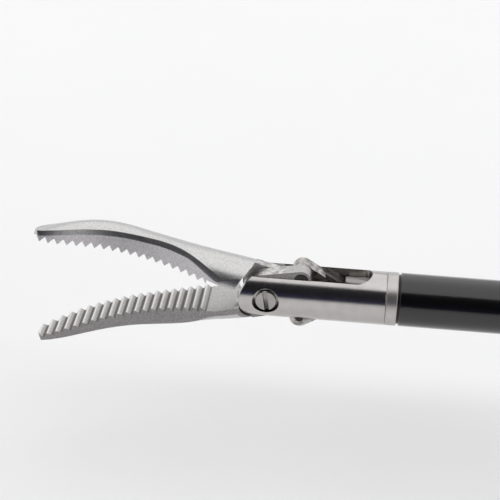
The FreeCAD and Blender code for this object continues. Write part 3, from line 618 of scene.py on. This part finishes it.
# light, dark, roughness and IOR of each material, and the grain of the mould in mm
mouldedLook = {
    "bush": ("#e6e0d0", "#d8d0bc", 0.42, 1.38),  # PTFE-filled polymer: waxy, off-white
    "seal": ("#2a2a2c", "#1c1c1e", 0.6, 1.43),  # silicone rubber: soft, dark, dull
    "spread": 0.06,  # by which the roughness varies
    "grain": 0.2,
    "grainDepth": 0.002,
}


def makeMoulded(name, kind):
    # small moulded ring: an even skin with the faint texture of its mould
    light, dark, roughness, ior = mouldedLook[kind]
    material, tree = newMaterial(name)
    place = addNode(tree, "ShaderNodeTexCoord", {})
    grain = addNode(tree, "ShaderNodeTexNoise", {"Scale": 1 / (mouldedLook["grain"] * mm), "Detail": 3.0},
                    {"Vector": place.outputs["Object"]})
    colour = addNode(tree, "ShaderNodeMix", {"data_type": "RGBA", 6: linear(dark), 7: linear(light)},
                     {0: grain.outputs[0]})
    spread = mouldedLook["spread"]
    rough = addNode(tree, "ShaderNodeMapRange",
                    {"To Min": roughness - spread, "To Max": roughness + spread}, {"Value": grain.outputs[0]})
    bump = addNode(tree, "ShaderNodeBump", {"Distance": mouldedLook["grainDepth"] * mm},
                   {"Height": grain.outputs[0]})
    shader = addNode(tree, "ShaderNodeBsdfPrincipled", {"IOR": ior},
                     {"Base Color": colour.outputs[2], "Roughness": rough.outputs[0],
                      "Normal": bump.outputs[0]})
    finishMaterial(tree, shader)
    return material


# the clevis's steel, with painted shade in the recess round the pivot screw
turnedSteel = makeTurnedSteel("turnedSteel", turnedSteelLook, headRecessShade)
collarLook = {**turnedSteelLook, "roughness": (0.34, 0.4), "feed": 0.16, "markDepth": 0.0003}
collarSteel = makeTurnedSteel("turnedCollarSteel", collarLook)
screwLook = {**turnedSteelLook, "light": "#b3b0ae", "dark": "#9f9c9a", "edgeRadius": 0.03}
# the screw's steel, with painted shade in its slot
screwSteel = makeTurnedSteel("polishedScrewSteel", screwLook, driverSlotShade)
# dark steel for the knuckle pins: painted shade standing for the shadow in their recesses; the shaft tube
# takes it too
darkLook = {**turnedSteelLook, "light": "#454240", "dark": "#302e2d", "roughness": (0.3, 0.4)}
darkSteel = makeTurnedSteel("pinShadeDarkSteel", darkLook)
rodLook = {**turnedSteelLook, "feed": 0.05, "roughness": (0.14, 0.24)}
rodSteel = makeTurnedSteel("groundRodSteel", rodLook)
# the same forging twice: painted light on the upper jaw's blasted sides, painted shade on the lower jaw's
upperForged = makeForgedSteel("blastedForgingUpperPaintedLight", forgedSteelLook, 1)
lowerForged = makeForgedSteel("blastedForgingLowerPaintedShade", forgedSteelLook, -1)
satinSteel = makeSatinSteel("rubbedSteel", satinSteelLook)
rodHeadSteel = makeSatinSteel("rubbedRodHead", {**satinSteelLook, "light": "#9a9792", "dark": "#74716c"})
shrinkSleeve = makeShrinkSleeve("shrunkSleeve", shrinkSleeveLook)
bushPolymer = makeMoulded("mouldedBushPolymer", "bush")
sealRubber = makeMoulded("mouldedSealRubber", "seal")

finishes = {
    turnedSteel: ["clevis", "coupling", "seal_retainer"],
    collarSteel: ["collar"],
    screwSteel: ["pivot_screw", "rod_pin"],
    darkSteel: ["upper_knuckle_pin", "lower_knuckle_pin", "shaft_tube"],
    rodSteel: ["drive_rod", "rod_ball"],
    upperForged: ["upper_jaw"],
    lowerForged: ["lower_jaw"],
    satinSteel: ["upper_link", "lower_link"],
    rodHeadSteel: ["rod_head"],
    shrinkSleeve: ["insulation_sleeve"],
    bushPolymer: ["guide_bush", "rear_guide_bush"],
    sealRubber: ["rod_seal", "coupling_seal"],
}
for material, names in finishes.items():
    for name in names:
        for place in nodes[name].material_slots:
            place.material = material
print("materials made")


# Coupling with its real thread, in place of the plain spigot
couplingSizes = {
    "pitch": 0.5,  # mm, M4 fine
    "threadDepth": 0.3,
    "threadEnd": 4.3,  # mm behind the shoulder
    "crest": 0.1,  # share of the pitch that is flat
    "spigotEnd": 4.6,
    "spigot": 2.0,  # radii
    "spigotEndRadius": 1.7,
    "pilot": 1.6,
    "pilotSeat": 1.3,  # floor of the seal's groove
    "bore": 1.1,
    "bushSeat": 1.5,
    "plug": 2.0,
    "edge": 0.06,
    "grooveHalf": 0.3,
    "rowsPerPitch": 10,
    "segments": 72,
    "sharpFrom": 35.0,  # degrees between faces that keep their edge
}


def threadRadius(station, angle, sizes):
    # a V thread that runs out smoothly at both ends
    phase = (station / sizes["pitch"] - angle / (2 * math.pi)) % 1.0
    rise = abs(phase - 0.5) * 2
    rise = min(max((rise - sizes["crest"]) / (1 - 2 * sizes["crest"]), 0.0), 1.0)
    runOut = min(station / sizes["pitch"], (sizes["threadEnd"] - station) / sizes["pitch"], 1.0)
    return sizes["spigot"] - sizes["threadDepth"] * rise * max(runOut, 0.0)


def couplingOutline(sizes):
    # half section as (station, radius) in mm, once round from the bush's seat; a thread row has no radius
    low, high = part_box("coupling")
    front, rear, flange = low.x / mm, high.x / mm, high.z / mm
    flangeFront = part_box("insulation_sleeve")[1].x / mm
    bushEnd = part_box("rear_guide_bush")[1].x / mm
    sealLow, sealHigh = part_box("coupling_seal")
    grooveMiddle = (sealLow.x + sealHigh.x) / 2 / mm
    grooveStart = grooveMiddle - sizes["grooveHalf"]
    grooveEnd = grooveMiddle + sizes["grooveHalf"]
    edge, pilot, plug = sizes["edge"], sizes["pilot"], sizes["plug"]
    ahead = [(front, sizes["bushSeat"]), (front, plug), (flangeFront, plug), (flangeFront, flange - edge),
             (flangeFront + edge, flange), (-edge, flange), (0.0, flange - edge), (0.0, sizes["spigot"])]
    rows = int(round(sizes["threadEnd"] / sizes["pitch"] * sizes["rowsPerPitch"]))
    thread = [(sizes["threadEnd"] * row / rows, None) for row in range(1, rows + 1)]
    behind = [(sizes["spigotEnd"], sizes["spigotEndRadius"]), (sizes["spigotEnd"], pilot),
              (grooveStart, pilot), (grooveStart, sizes["pilotSeat"]),
              (grooveEnd, sizes["pilotSeat"]), (grooveEnd, pilot), (rear - edge, pilot),
              (rear, pilot - edge), (rear, sizes["bore"]), (bushEnd, sizes["bore"]),
              (bushEnd, sizes["bushSeat"])]
    return ahead + thread + behind


def makeCoupling():
    sizes = couplingSizes
    outline = couplingOutline(sizes)
    count = sizes["segments"]
    points = []
    for station, radius in outline:
        for step in range(count):
            angle = 2 * math.pi * step / count
            reach = threadRadius(station, angle, sizes) if radius is None else radius
            points.append((station * mm, reach * math.cos(angle) * mm, reach * math.sin(angle) * mm))
    faces = []
    for row in range(len(outline)):
        following = (row + 1) % len(outline)
        for step in range(count):
            beside = (step + 1) % count
            faces.append((row * count + step, following * count + step, following * count + beside,
                          row * count + beside))
    mesh = bpy.data.meshes.new("threadedCoupling")
    mesh.from_pydata(points, [], faces)
    mesh.validate()
    piece = bpy.data.objects.new("threadedCoupling", mesh)
    bpy.context.scene.collection.objects.link(piece)
    mesh.materials.append(turnedSteel)
    mesh.shade_smooth()
    mesh.set_sharp_from_angle(angle=math.radians(sizes["sharpFrom"]))
    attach(piece, "shaft")
    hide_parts("coupling")


makeCoupling()
print("coupling threaded")
